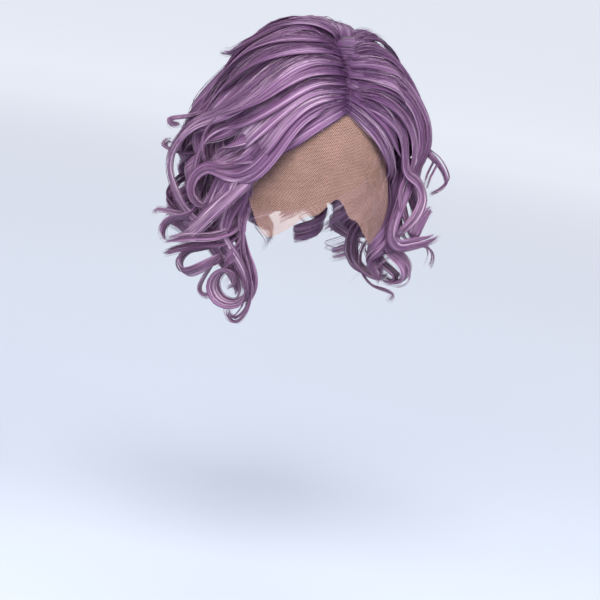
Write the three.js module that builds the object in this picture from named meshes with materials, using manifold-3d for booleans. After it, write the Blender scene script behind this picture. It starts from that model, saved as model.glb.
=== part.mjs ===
// Short curly lace front wig with a centre parting, in the shape it has on a head.
// Millimetres, +Z up, front towards -Y, the wearer's left towards +X.
// The origin is the inside of the cap at the crown, where the wig sits on the head.
import * as THREE from 'three';
import { mergeVertices } from 'three/addons/utils/BufferGeometryUtils.js';
import Module from 'manifold-3d';

const wasm = await Module();
wasm.setup();

// Head size that the cap is made for, as half sizes from the head's centre at eye level
const HEAD = { halfWidth: 76, front: 92, back: 100, top: 116, face: 300, nape: 115 };
const GAP = 0.4; // clearance between neighbouring pieces

// Places on the head are two angles in degrees: side turns from the midline towards an ear,
// tilt turns from straight ahead over the crown (90) to the nape (above 180)
const LACE = { wall: 1.0, ear: 72, seam: 99, sideSteps: 16, tiltSteps: 8 };
const CAP = { wall: 1.5, ear: 79, seam: 100, nape: 214, napeArch: 6, sideSteps: 12, tiltSteps: 7 };
const PARTING = { side: 0.2, end: 80, close: 24, rootOffset: 5, slit: 0.8 };
const BED = {
  off: 2.8, ear: 77, nape: 217, edge: 2.5, full: 20, fade: 40, spread: 24, sideSteps: 6, tiltSteps: 12,
};

// Lower edge of the lace: how far it stands off the face and its tilt, across the face
const HEM = [
  { side: -72, tilt: -8, stand: 0 },
  { side: -54, tilt: -36, stand: 1 },
  { side: -32, tilt: -44, stand: 2 },
  { side: -12, tilt: -22, stand: 1 },
  { side: 0, tilt: -11, stand: 0 },
  { side: 12, tilt: -22, stand: 1 },
  { side: 32, tilt: -42, stand: 3 },
  { side: 54, tilt: -44, stand: 9 },
  { side: 72, tilt: -24, stand: 7 },
];

// Front edge of the hair, from the middle of the forehead to the front of the ear
const HAIRLINE = [
  { side: 0, tilt: 41 },
  { side: 25, tilt: 42 },
  { side: 45, tilt: 32 },
  { side: 60, tilt: 13 },
  { side: 70, tilt: -10 },
  { side: 77, tilt: -35 },
];

// A lock leaves its root, lies over the head to a leaving point (az, el), then drops in a curl.
// root and leaving angles in degrees round and above eye level, lift above the head, drop, flare
// (outward run of the end, turned by toss), curl radius and width in mm, phase in degrees
const LOCK_COLUMNS = ['rootAz', 'rootEl', 'az', 'el', 'sweep', 'lift', 'drop', 'flare', 'toss',
  'curl', 'turns', 'phase', 'width'];
const RIGHT_LOCKS = [
  [0, 43, -62, -10, 1.6, 12, 30, 30, -80, 9, 1.2, 220, 26],
  [0, 50, -72, 0, 1.3, 14, 90, 10, -60, 10, 1.6, 150, 26],
  [0, 57, -82, 8, 1.0, 19, 95, -10, 0, 11, 1.5, 100, 26],
  [0, 64, -92, 14, 0.7, 22, 105, 0, 0, 12, 1.7, 70, 28],
  [0, 71, -106, 14, 0.4, 20, 115, 5, 0, 13, 2.0, 100, 30],
  [-58, 25, -56, -6, 0.2, 10, 115, 20, -85, 10, 1.2, 30, 20],
  [-64, 30, -62, -8, 0.3, 12, 140, 10, 70, 14, 2.3, 250, 22],
  [-80, 35, -78, -5, 0.3, 14, 115, 25, 40, 15, 2.4, 130, 22],
  [-98, 35, -98, -5, 0.3, 14, 95, 20, 20, 14, 2.4, 0, 24],
];
const LEFT_LOCKS = [
  [0, 43, 60, -2, 1.4, 12, 90, 0, 0, 10, 1.3, 340, 24],
  [0, 50, 70, 2, 1.2, 18, 95, 0, 0, 12, 1.6, 40, 26],
  [0, 57, 80, 8, 0.9, 32, 90, 0, 0, 14, 1.8, 110, 26],
  [0, 64, 92, 12, 0.6, 36, 90, 10, 0, 15, 1.9, 190, 28],
  [0, 71, 106, 14, 0.3, 30, 100, 10, 0, 15, 2.0, 290, 30],
  [66, 30, 60, -5, 0.3, 14, 120, 5, -60, 14, 2.0, 150, 22],
  [82, 35, 74, -5, 0.3, 24, 115, 5, -50, 16, 2.3, 20, 22],
  [98, 35, 94, -5, 0.3, 20, 95, 18, -10, 15, 2.3, 260, 24],
];
// Rows of locks down each half of the back, spread evenly between two azimuths
const BACK_FLARE = 16;
const BACK_ROWS = [
  { count: 3, from: 128, to: 167, rootEl: 80, el: 10, lift: 20, drop: 100, curl: 14, turns: 2.0, width: 34 },
  { count: 2, from: 132, to: 164, rootEl: 15, el: -8, lift: 11, drop: 90, curl: 14, turns: 2.2, width: 30 },
];
const BACK_PHASE_STEP = 130; // neighbouring back locks curl out of step

// Section of a lock, as shares of its width and its length
const LOCK = {
  sides: 6, steps: 14, rootLift: 6, thick: 0.34, root: 0.4, gather: 0.25, taper: 0.45, crowd: 1.35,
};

const HAIR = new THREE.MeshStandardMaterial({ color: 0x765d7b, roughness: 0.45, metalness: 0 });
const SHEER = new THREE.MeshStandardMaterial({ color: 0xb9a49c, roughness: 0.8, metalness: 0 });
const NET = new THREE.MeshStandardMaterial({ color: 0x4a3650, roughness: 0.85, metalness: 0 });

const { degToRad, lerp, smoothstep } = THREE.MathUtils;

// Unit direction of a place on the head
function place(side, tilt) {
  const across = degToRad(side);
  const over = degToRad(tilt);
  return new THREE.Vector3(
    Math.sin(across),
    -Math.cos(across) * Math.cos(over),
    Math.cos(across) * Math.sin(over),
  );
}

// Unit direction from an azimuth round the head and an elevation above eye level
function aim(azimuth, elevation) {
  const round = degToRad(azimuth);
  const above = degToRad(elevation);
  return new THREE.Vector3(
    Math.cos(above) * Math.sin(round),
    -Math.cos(above) * Math.cos(round),
    Math.sin(above),
  );
}

// Distance from the head's centre to its surface along a direction
function headRadius(direction) {
  const depth = direction.y < 0 ? HEAD.front : HEAD.back;
  const below = lerp(HEAD.face, HEAD.nape, smoothstep(direction.y, -0.2, 0.5));
  const height = direction.z > 0 ? HEAD.top : below;
  return 1 / Math.hypot(direction.x / HEAD.halfWidth, direction.y / depth, direction.z / height);
}

// Value of a table's column at a side angle, eased from row to row
function column(table, name, side) {
  const next = table.findIndex((row) => row.side >= side);
  if (next < 0) return table.at(-1)[name];
  if (next === 0) return table[0][name];
  const share = smoothstep(side, table[next - 1].side, table[next].side);
  return lerp(table[next - 1][name], table[next][name], share);
}

// Closed shell over part of the head, bent from a box whose depth is the wall
function shell({ sides, tilts, wall, sideSteps, tiltSteps, grow = 0 }) {
  const geometry = new THREE.BoxGeometry(1, 1, 1, sideSteps, tiltSteps, 1);
  const points = geometry.attributes.position;
  const turn = THREE.MathUtils.radToDeg(grow / HEAD.halfWidth);
  for (let i = 0; i < points.count; i++) {
    const side = lerp(sides[0] - turn, sides[1] + turn, points.getX(i) + 0.5);
    const [low, high] = tilts(side);
    const tilt = lerp(low - turn, high + turn, points.getY(i) + 0.5);
    const [inner, outer] = wall(side, tilt);
    const direction = place(side, tilt);
    const off = points.getZ(i) > 0 ? outer + grow : inner - grow;
    direction.multiplyScalar(headRadius(direction) + off);
    points.setXYZ(i, direction.x, direction.y, direction.z);
  }
  return geometry;
}

function laceShell(grow) {
  const stand = (side, tilt) => column(HEM, 'stand', side) * smoothstep(-tilt, -25, 40);
  return shell({
    sides: [-LACE.ear, LACE.ear],
    tilts: (side) => [column(HEM, 'tilt', side), LACE.seam],
    wall: (side, tilt) => [stand(side, tilt), stand(side, tilt) + LACE.wall],
    sideSteps: LACE.sideSteps,
    tiltSteps: LACE.tiltSteps,
    grow,
  });
}

function capShell(grow) {
  return shell({
    sides: [-CAP.ear, CAP.ear],
    tilts: (side) => [CAP.seam, CAP.nape - CAP.napeArch * Math.cos(degToRad(4 * side))],
    wall: () => [0, CAP.wall],
    sideSteps: CAP.sideSteps,
    tiltSteps: CAP.tiltSteps,
    grow,
  });
}

// Bed of hair that the locks grow from, thin at its edges and along the parting
function hairBed(side, tilt) {
  const fromEdge = Math.min(tilt - column(HAIRLINE, 'tilt', Math.abs(side)), BED.nape - tilt);
  const body = smoothstep(fromEdge, 0, BED.fade);
  const behind = smoothstep(tilt, PARTING.end - PARTING.close, PARTING.end);
  const fromParting = Math.max(smoothstep(Math.abs(side), 0, BED.spread), behind);
  return [BED.off, BED.off + lerp(BED.edge, BED.full, body * fromParting)];
}

function bedShell(hand) {
  return shell({
    sides: [hand * BED.ear, hand * PARTING.side].sort((a, b) => a - b),
    tilts: (side) => [column(HAIRLINE, 'tilt', Math.abs(side)), BED.nape],
    wall: hairBed,
    sideSteps: BED.sideSteps,
    tiltSteps: BED.tiltSteps,
  });
}

// Smooth centre line that a lock follows before it curls
function lockLine(row) {
  const hand = Math.sign(row.az);
  const root = aim(row.rootAz, row.rootEl);
  if (row.rootAz === 0) root.x += hand * PARTING.rootOffset / HEAD.top;
  root.normalize();
  const leave = aim(row.az, row.el);
  const pull = 0.45 * (1 - root.dot(leave));
  const middle = new THREE.Vector3(hand * 0.9 * pull, -row.sweep * pull, 0.5 * pull);
  middle.add(root).add(leave).normalize();
  const points = [];
  for (const share of [0, 0.2, 0.4, 0.6, 0.8, 1]) {
    const direction = new THREE.QuadraticBezierCurve3(root, middle, leave).getPoint(share).normalize();
    const lift = lerp(LOCK.rootLift, row.lift, smoothstep(share, 0, 0.5));
    points.push(direction.multiplyScalar(headRadius(direction) + lift));
  }
  const last = points.at(-1);
  const outward = aim(row.az + row.toss, 0);
  for (const share of [0.34, 0.67, 1]) {
    const point = last.clone().addScaledVector(outward, row.flare * share ** 2.5);
    points.push(point.setZ(last.z - row.drop * share));
  }
  return new THREE.CatmullRomCurve3(points, false, 'catmullrom', 0.5);
}

// Centre and frame of a lock at a share of its length; the flat side turns with the curl
function lockStation(line, row, share) {
  const base = line.getPointAt(share);
  const along = line.getTangentAt(share);
  const outward = new THREE.Vector3(base.x, base.y, 0.6 * Math.max(base.z, 0));
  outward.addScaledVector(along, -outward.dot(along)).normalize();
  const across = along.clone().cross(outward);
  const turnAt = (s) => degToRad(row.phase) + 2 * Math.PI * row.turns * (0.4 * s + 0.6 * s ** 2.4);
  const turn = turnAt(share);
  const radius = row.curl * smoothstep(share, 0.1, 0.75) * (1 - 0.25 * smoothstep(share, 0.85, 1));
  const centre = base.clone();
  centre.addScaledVector(outward, 0.9 * radius * (0.35 + Math.cos(turn)));
  centre.addScaledVector(across, radius * Math.sin(turn));
  const halfTurns = Math.PI * Math.round(turnAt(0.35) / Math.PI);
  const roll = smoothstep(share, 0.2, 0.6) * (turn - halfTurns);
  const flat = outward.multiplyScalar(Math.cos(roll)).addScaledVector(across, Math.sin(roll));
  return { centre, flat };
}

// One lock as a lens section carried along its curling centre line
function lockGeometry(row) {
  const line = lockLine(row);
  const stations = [];
  for (let i = 0; i <= LOCK.steps; i++) {
    const share = 1 - (1 - i / LOCK.steps) ** LOCK.crowd;
    stations.push({ share, ...lockStation(line, row, share) });
  }
  stations.forEach((station, i) => {
    const before = stations[Math.max(i - 1, 0)].centre;
    const after = stations[Math.min(i + 1, LOCK.steps)].centre;
    const along = after.clone().sub(before).normalize();
    station.flat.addScaledVector(along, -station.flat.dot(along)).normalize();
    station.broad = along.cross(station.flat);
  });
  const geometry = new THREE.CylinderGeometry(1, 1, 1, LOCK.sides, LOCK.steps);
  const points = geometry.attributes.position;
  for (let i = 0; i < points.count; i++) {
    const { share, centre, flat, broad } = stations[Math.round((points.getY(i) + 0.5) * LOCK.steps)];
    const tip = LOCK.taper * smoothstep(share, 0.8, 1);
    const gather = LOCK.gather * smoothstep(share, 0.3, 0.75);
    const root = LOCK.root * (1 - smoothstep(share, 0, 0.2));
    const halfWidth = row.width / 2 * (1 - root - gather - tip);
    const halfThick = row.width / 2 * LOCK.thick * (1 - root - tip);
    const point = centre.clone();
    point.addScaledVector(broad, halfWidth * points.getX(i));
    point.addScaledVector(flat, halfThick * points.getZ(i));
    points.setXYZ(i, point.x, point.y, point.z);
  }
  return geometry;
}

function lockTable(rows) {
  return rows.map((row) => Object.fromEntries(LOCK_COLUMNS.map((name, i) => [name, row[i]])));
}

function backLocks(hand) {
  return BACK_ROWS.flatMap((tier, t) => Array.from({ length: tier.count }, (_, i) => {
    const az = hand * lerp(tier.from, tier.to, i / (tier.count - 1));
    const rootAz = tier.rootEl > 45 ? 0 : az;
    const phase = hand * BACK_PHASE_STEP * (i + 1.5 * t);
    return { ...tier, rootAz, az, phase, sweep: 0, flare: BACK_FLARE, toss: 0 };
  }));
}

// Solid of a closed geometry, for joining and cutting
function solid(geometry) {
  geometry.deleteAttribute('normal');
  geometry.deleteAttribute('uv');
  const merged = mergeVertices(geometry, 1e-4);
  return new wasm.Manifold(new wasm.Mesh({
    numProp: 3,
    vertProperties: merged.attributes.position.array,
    triVerts: Uint32Array.from(merged.index.array),
  }));
}

function fuse(geometries) {
  return geometries.map(solid).reduce((whole, piece) => whole.add(piece));
}

// Largest single body of a solid
function mainBody(shape) {
  return shape.decompose().reduce((best, body) => (body.volume() > best.volume() ? body : best));
}

function namedMesh(name, shape, material) {
  const { vertProperties, triVerts } = shape.getMesh();
  const geometry = new THREE.BufferGeometry();
  geometry.setAttribute('position', new THREE.BufferAttribute(vertProperties, 3));
  geometry.setIndex(new THREE.BufferAttribute(triVerts, 1));
  geometry.computeVertexNormals();
  const mesh = new THREE.Mesh(geometry, material);
  mesh.name = name;
  return mesh;
}

const worn = fuse([laceShell(GAP), capShell(GAP)]);
const slit = solid(new THREE.BoxGeometry(PARTING.slit, 4 * HEAD.back, 4 * HEAD.top));

// Hair of one side: its bed and every lock fused, clear of the cap, the lace and the other side
function halfHair(hand, frontLocks) {
  const rows = [...lockTable(frontLocks), ...backLocks(hand)];
  const hair = fuse([bedShell(hand), ...rows.map(lockGeometry)]);
  return mainBody(hair.subtract(worn).subtract(slit));
}

const pieces = new THREE.Group();
pieces.position.z = -HEAD.top;
pieces.add(
  namedMesh('lace_front', solid(laceShell(0)), SHEER),
  namedMesh('wig_cap', solid(capShell(0)), NET),
  namedMesh('hair_right', halfHair(-1, RIGHT_LOCKS), HAIR),
  namedMesh('hair_left', halfHair(1, LEFT_LOCKS), HAIR),
);

const wig = new THREE.Group();
wig.add(pieces);
wig.updateMatrixWorld(true);

export default wig;
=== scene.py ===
import math

import bmesh
import bpy
import numpy as np
from mathutils import Matrix, Vector


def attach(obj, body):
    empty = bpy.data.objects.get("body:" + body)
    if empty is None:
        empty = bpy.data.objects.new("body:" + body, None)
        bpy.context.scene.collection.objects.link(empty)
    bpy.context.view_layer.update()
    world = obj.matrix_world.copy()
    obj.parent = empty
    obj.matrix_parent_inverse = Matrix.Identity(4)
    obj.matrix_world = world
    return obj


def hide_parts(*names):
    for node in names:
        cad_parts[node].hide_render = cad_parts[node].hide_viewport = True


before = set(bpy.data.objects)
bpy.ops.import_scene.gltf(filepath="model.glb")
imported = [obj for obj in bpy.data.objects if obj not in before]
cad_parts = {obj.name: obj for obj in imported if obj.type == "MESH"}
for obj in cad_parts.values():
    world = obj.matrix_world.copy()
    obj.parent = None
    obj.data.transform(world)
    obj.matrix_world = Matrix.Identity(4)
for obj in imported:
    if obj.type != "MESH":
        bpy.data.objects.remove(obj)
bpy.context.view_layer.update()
print("frame:", ", ".join(sorted(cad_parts)))

# Worked out in millimetres, as the part is, from the middle of the rounded form under the cap
mm = 0.001
form = {"halfWidth": 76, "front": 92, "back": 100, "top": 116,
        "frontBelow": 300, "backBelow": 115}


def toScene(points):
    return (np.asarray(points) - (0, 0, form["top"])) * mm


def ease(x, low, high):
    t = np.clip((np.asarray(x, float) - low) / (high - low), 0, 1)
    return t * t * (3 - 2 * t)


def unit(v):
    return v / np.linalg.norm(v, axis=-1, keepdims=True)


def aim(azimuth, elevation):  # round the form from the front, and up from its middle
    a, e = np.radians(azimuth), np.radians(elevation)
    parts = np.cos(e) * np.sin(a), -np.cos(e) * np.cos(a), np.sin(e)
    return np.stack(np.broadcast_arrays(*parts), -1)


def place(side, tilt):  # out from the midline, and back over the crown from straight ahead
    s, t = np.radians(side), np.radians(tilt)
    parts = np.sin(s), -np.cos(s) * np.cos(t), np.cos(s) * np.sin(t)
    return np.stack(np.broadcast_arrays(*parts), -1)


def formRadius(d):
    x, y, z = d[..., 0], d[..., 1], d[..., 2]
    depth = np.where(y < 0, form["front"], form["back"])
    below = form["frontBelow"] + (form["backBelow"] - form["frontBelow"]) * ease(y, -0.2, 0.5)
    height = np.where(z > 0, form["top"], below)
    return 1 / np.sqrt((x / form["halfWidth"]) ** 2 + (y / depth) ** 2 + (z / height) ** 2)


def fromTable(sides, values, side):  # eased from one side angle to the next
    i = np.clip(np.searchsorted(sides, side) - 1, 0, len(sides) - 2)
    low, high = np.take(sides, i), np.take(sides, i + 1)
    t = ease((side - low) / (high - low), 0, 1)
    return np.take(values, i) * (1 - t) + np.take(values, i + 1) * t


def addPiece(name, mesh, material, slotName, *nodes):
    piece = bpy.data.objects.new(name, mesh)
    bpy.context.scene.collection.objects.link(piece)
    mesh.materials.append(material)
    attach(piece, "root")
    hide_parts(*nodes)
    return piece


# Where the camera stands round the form, its roll, and where the form's middle is in the picture
view = {"yaw": -24, "elevation": 7, "roll": 9.7, "distance": 1800, "pixelsPerMm": 1.05,
        "middleAt": (302, 162), "size": 600, "sensor": 36}


def sightAxes():
    back = aim(view["yaw"], view["elevation"])
    right = aim(view["yaw"] + 90, 0)
    up = np.cross(back, right)
    r = math.radians(view["roll"])
    return math.cos(r) * right + math.sin(r) * up, math.cos(r) * up - math.sin(r) * right, back


def sighted(column, row, near):  # a point seen at that column and row of the picture, and how near
    right, up, back = sightAxes()
    shrink = (view["distance"] - near) / view["distance"] / view["pixelsPerMm"]
    x, y = column - view["middleAt"][0], view["middleAt"][1] - row
    return right * x * shrink + up * y * shrink + back * near


def combed(column, row, lift):  # a point seen there, lifted that far off the form's near side
    far, near = 0.0, 170.0
    for _ in range(24):
        middle = (far + near) / 2
        p = sighted(column, row, middle)
        out = np.linalg.norm(p)
        if out > formRadius(p / out) + lift:
            near = middle
        else:
            far = middle
    return sighted(column, row, far)


# Node helpers
def newMaterial(name):
    material = bpy.data.materials.new(name)
    material.use_nodes = True
    return material, material.node_tree.nodes["Principled BSDF"]


def addNode(material, kind, operation=None, **settings):
    node = material.node_tree.nodes.new("ShaderNode" + kind)
    if operation:
        node.operation = operation
    for name, value in settings.items():
        setattr(node, name, value)
    return node


def wire(material, value, socket):
    if isinstance(value, bpy.types.NodeSocket):
        material.node_tree.links.new(value, socket)
    else:
        socket.default_value = value


def maths(material, operation, *values):
    node = addNode(material, "Math", operation)
    for socket, value in zip(node.inputs, values):
        wire(material, value, socket)
    return node.outputs[0]


def vectorMaths(material, operation, *values, result=0):
    node = addNode(material, "VectorMath", operation)
    for socket, value in zip(node.inputs, values):
        wire(material, value, socket)
    return node.outputs[result]


def mixColours(material, blend, share, first, second):
    node = addNode(material, "Mix", data_type="RGBA", blend_type=blend)
    wire(material, share, node.inputs[0])
    wire(material, first, node.inputs[6])
    wire(material, second, node.inputs[7])
    return node.outputs[2]


def ramp(material, value, stops):
    node = addNode(material, "ValToRGB")
    while len(node.color_ramp.elements) < len(stops):
        node.color_ramp.elements.new(1.0)
    for element, (position, colour) in zip(node.color_ramp.elements, stops):
        element.position = position
        element.color = (*colour, 1.0)
    wire(material, value, node.inputs[0])
    return node.outputs[0]


def attribute(material, name):
    return addNode(material, "Attribute", attribute_name=name).outputs["Fac"]


def noise(material, vector, scale, detail=2.0):
    node = addNode(material, "TexNoise")
    node.inputs["Scale"].default_value = scale
    node.inputs["Detail"].default_value = detail
    wire(material, vector, node.inputs["Vector"])
    return node.outputs[0]


def addBump(material, shader, height, strength, distance):
    bump = addNode(material, "Bump")
    bump.inputs["Strength"].default_value = strength
    bump.inputs["Distance"].default_value = distance
    wire(material, height, bump.inputs["Height"])
    wire(material, bump.outputs[0], shader.inputs["Normal"])


def srgb(red, green, blue):  # 0 to 255 as seen on a screen
    return tuple(c / 12.92 if c <= 0.04045 else ((c + 0.055) / 1.055) ** 2.4
                 for c in (red / 255, green / 255, blue / 255))


# Hair fibre
fibreLook = {
    "roots": srgb(73, 40, 79), "body": srgb(111, 75, 113), "tips": srgb(125, 90, 122),
    "dark": srgb(46, 18, 46), "pale": srgb(206, 181, 200), "gloss": srgb(236, 216, 236),
    "roughness": 0.34, "fine": 0.75, "broad": 0.22, "stretch": 3.0, "contrast": 3.6,
    "deepen": 1.15, "lighten": 1.3, "bedPaintedShade": 0.5, "bump": (0.6, 0.0008), "anisotropic": 0.7,
    "specular": 0.42,
}


def makeFibre(name, shade):
    material, shader = newMaterial(name)
    along, tone, across = (attribute(material, n) for n in ("along", "tone", "across"))
    # darker at the roots: dyed, and partly painted shade at the crown and parting
    colour = ramp(material, along, [(0.0, fibreLook["roots"]), (0.06, fibreLook["roots"]),
                                    (0.22, fibreLook["body"]), (1.0, fibreLook["tips"])])
    # streaks that run along the fibres, a random tone that is also painted shade in the dark
    # streaks and painted highlight in the pale ones
    run = addNode(material, "CombineXYZ")
    wire(material, across, run.inputs[0])
    wire(material, maths(material, "MULTIPLY", along, fibreLook["stretch"]), run.inputs[1])
    fine = noise(material, run.outputs[0], fibreLook["fine"], 3.0)
    broad = noise(material, run.outputs[0], fibreLook["broad"], 2.0)
    streak = maths(material, "ADD", maths(material, "MULTIPLY", fine, 0.6),
                   maths(material, "MULTIPLY", broad, 0.4))
    contrast = fibreLook["contrast"]
    level = maths(material, "ADD", tone,
                  maths(material, "MULTIPLY_ADD", streak, contrast, -contrast / 2))
    under, over = maths(material, "SUBTRACT", 0.5, level), maths(material, "SUBTRACT", level, 0.5)
    deep = maths(material, "MULTIPLY", under, fibreLook["deepen"])
    light = maths(material, "MULTIPLY", over, fibreLook["lighten"])
    for part in (deep, light):
        part.node.use_clamp = True
    # the pale mix, partly painted highlight, fades out near the roots, painted root shade at the
    # parting
    fade = maths(material, "MINIMUM", maths(material, "MULTIPLY_ADD", along, 6.0, 0.1), 1.0)
    light = maths(material, "MULTIPLY", light, fade)  # none at the roots
    colour = mixColours(material, "MIX", deep, colour, (*fibreLook["dark"], 1))
    colour = mixColours(material, "MIX", light, colour, (*fibreLook["pale"], 1))
    # a darker copy of the fibre, painted shade, for the bed under the locks
    if shade < 1:
        colour = mixColours(material, "MULTIPLY", 1.0, colour, (shade, shade, shade, 1))
    wire(material, colour, shader.inputs["Base Color"])
    dull = maths(material, "MAXIMUM", maths(material, "MULTIPLY_ADD", along, -2.5, 0.3), 0.0)
    uneven = maths(material, "MULTIPLY_ADD", fine, 0.2, fibreLook["roughness"] - 0.1)
    wire(material, maths(material, "ADD", uneven, dull), shader.inputs["Roughness"])
    addBump(material, shader, fine, *fibreLook["bump"])
    # gloss runs in bands across the fibres
    tangent = addNode(material, "Tangent", direction_type="UV_MAP", uv_map="OFBake")
    wire(material, tangent.outputs[0], shader.inputs["Tangent"])
    shader.inputs["Anisotropic"].default_value = fibreLook["anisotropic"]
    shader.inputs["Specular IOR Level"].default_value = fibreLook["specular"]
    shader.inputs["Specular Tint"].default_value = (*fibreLook["gloss"], 1)
    return material


fibre = makeFibre("fibre", 1.0)
shadedBedFibre = makeFibre("shadedBedFibre", fibreLook["bedPaintedShade"])

# Locks: each leaves its root, lies over the cap to a leaving point, then drops in a curl.
# Angles in degrees, sizes in millimetres; flare is the outward run of the end, turned by toss,
# waves are spread over the whole lock and loops gather at its end
lockColumns = "rootAz rootEl az el sweep lift drop flare toss curl waves loops phase width".split()
rightTop = [
    (0, 44, -62, -8, 1.6, 8, 30, 10, -85, 5, 0.9, 0.2, 220, 22),
    (0, 51, -74, 0, 1.2, 11, 40, 5, -60, 6, 1.0, 0.3, 150, 24),
    (0, 58, -86, 6, 0.9, 13, 50, 0, 0, 7, 1.0, 0.4, 100, 26),
    (0, 65, -98, 8, 0.6, 16, 60, 0, 0, 7, 1.1, 0.6, 70, 34),
    (0, 71, -108, 8, 0.4, 17, 75, 0, 0, 8, 1.0, 1.0, 160, 38),
    (0, 77, -118, 4, 0.3, 16, 85, 0, 0, 10, 1.2, 1.1, 0, 42),
]
rightSide = [
    (-60, 22, -60, -10, 0.3, 4, 90, 0, 0, 7, 0.9, 0.6, 250, 20),
    (-72, 28, -72, -8, 0.3, 6, 95, 0, 0, 8, 0.9, 0.8, 130, 22),
    (-84, 32, -84, -6, 0.3, 8, 85, 2, 0, 9, 0.9, 0.9, 20, 22),
    (-98, 34, -98, -4, 0.3, 8, 75, 6, 0, 10, 0.9, 1.0, 200, 22),
    (-112, 30, -112, -4, 0.3, 10, 75, 8, 0, 11, 0.9, 1.0, 60, 22),
]
leftTop = [
    (0, 44, 60, -4, 1.5, 8, 50, 0, 0, 5, 1.0, 0.3, 340, 22),
    (0, 51, 70, 2, 1.1, 10, 60, 0, 0, 6, 1.2, 0.4, 40, 24),
    (0, 58, 82, 6, 0.8, 13, 70, 0, 0, 8, 1.1, 0.8, 110, 26),
    (0, 65, 94, 8, 0.6, 25, 80, 0, 0, 10, 1.2, 1.0, 190, 34),
    (0, 71, 106, 8, 0.4, 27, 70, 5, 0, 12, 1.1, 1.1, 290, 38),
    (0, 77, 118, 4, 0.3, 24, 85, 5, 0, 12, 1.2, 1.1, 30, 42),
]
leftSide = [
    (60, 20, 60, -8, 0.3, 4, 90, 0, 0, 8, 0.8, 0.8, 200, 18),
    (68, 28, 68, -6, 0.3, 6, 85, 5, -30, 9, 0.9, 1.0, 20, 20),
    (78, 30, 78, -6, 0.3, 8, 90, 8, 0, 11, 1.0, 1.0, 60, 20),
    (90, 34, 90, -4, 0.3, 12, 80, 12, -20, 13, 1.0, 1.2, 260, 22),
    (106, 34, 106, -2, 0.3, 12, 80, 12, -10, 13, 1.0, 1.2, 100, 22),
]
# Locks that show in the picture, each through points of it: column, row, and in millimetres how far
# above the form it is combed and then how near its path is. lies counts the path's first points
# that are on the cap too, hold is where it narrows from spread to width, bare narrows its root,
# and roll turns its flat side from the camera
# tone makes a lock lighter or darker: the darker ones lie back, at the crown or in the face's
# shade, and are painted shade; a few front locks are a little lighter
rightSweeps = [
    {"spread": 29, "width": 10, "hold": (0.5, 0.75), "roll": 20, "bare": 0.65,
     "comb": [(348, 100, 1), (330, 97, 5), (312, 100, 9), (294, 112, 12), (281, 127, 14),
     (268, 147, 15), (254, 164, 16)], "path": [(238, 172, 70), (222, 171, 66), (208, 168, 60),
     (197, 174, 54), (191, 186, 50), (193, 198, 50), (202, 206, 54), (211, 202, 54)]},
    {"spread": 27, "width": 9, "hold": (0.55, 0.95), "roll": 15, "bare": 0.4, "comb": [(347, 93, 1),
     (328, 89, 6), (308, 93, 11), (290, 105, 14), (274, 122, 16), (262, 140, 17)],
     "path": [(248, 153, 66), (233, 160, 64), (219, 164, 60), (207, 167, 54), (198, 174, 48)]},
    {"spread": 27, "width": 9, "hold": (0.5, 0.95), "roll": 10, "comb": [(346, 84, 1), (325, 81, 6),
     (303, 86, 12), (284, 99, 16), (266, 115, 18), (250, 130, 20)], "path": [(238, 143, 60),
     (226, 152, 58), (214, 160, 52), (204, 168, 46)]},
    {"spread": 28, "width": 14, "roll": 35, "comb": [(345, 76, 1), (321, 74, 7), (297, 82, 14),
     (274, 99, 18), (252, 114, 21)], "path": [(238, 120, 60), (223, 125, 56), (210, 134, 48),
     (201, 149, 40), (196, 166, 36), (194, 184, 36), (197, 199, 40), (204, 212, 48),
     (214, 221, 54)]},
    {"spread": 28, "width": 14, "roll": 40, "comb": [(345, 68, 1), (322, 64, 8), (299, 69, 16),
     (277, 84, 20), (258, 101, 22), (240, 110, 24)], "path": [(224, 116, 54), (212, 126, 48),
     (205, 142, 44), (206, 160, 46), (213, 172, 50)]},
    {"spread": 26, "width": 14, "roll": 15, "comb": [(344, 61, 1), (322, 55, 9), (300, 58, 18),
     (279, 70, 22), (262, 86, 24), (246, 99, 25), (228, 110, 26)], "path": [(212, 117, 44),
     (197, 123, 36), (183, 135, 28), (173, 151, 18), (170, 167, 12), (173, 183, 14), (180, 200, 24),
     (190, 215, 38), (205, 228, 50), (222, 234, 56)]},
    {"spread": 28, "width": 13, "roll": 30, "bare": 0.5, "tone": -0.12, "comb": [(344, 56, 1),
     (325, 47, 8), (302, 46, 18), (276, 52, 24), (252, 65, 26), (230, 84, 26)],
     "path": [(217, 99, 24), (208, 112, 18), (203, 128, 14), (203, 146, 14)]},
    {"spread": 29, "width": 14, "roll": 30, "bare": 0.6, "tone": -0.22, "comb": [(343, 53, 1),
     (328, 40, 8), (306, 35, 18), (280, 37, 24), (256, 47, 26), (237, 62, 26), (223, 78, 26)],
     "path": [(210, 96, 10), (203, 112, 4), (198, 132, 0), (196, 152, -2), (198, 172, 0)]},
    {"spread": 28, "width": 14, "roll": 20, "bare": 0.6, "tone": -0.28, "comb": [(343, 51, 1),
     (338, 38, 9), (328, 28, 16), (312, 23, 20), (294, 24, 22), (275, 30, 23), (257, 40, 24)],
     "path": [(243, 47, 20), (231, 54, 4), (221, 53, -6)]},
]
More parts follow.
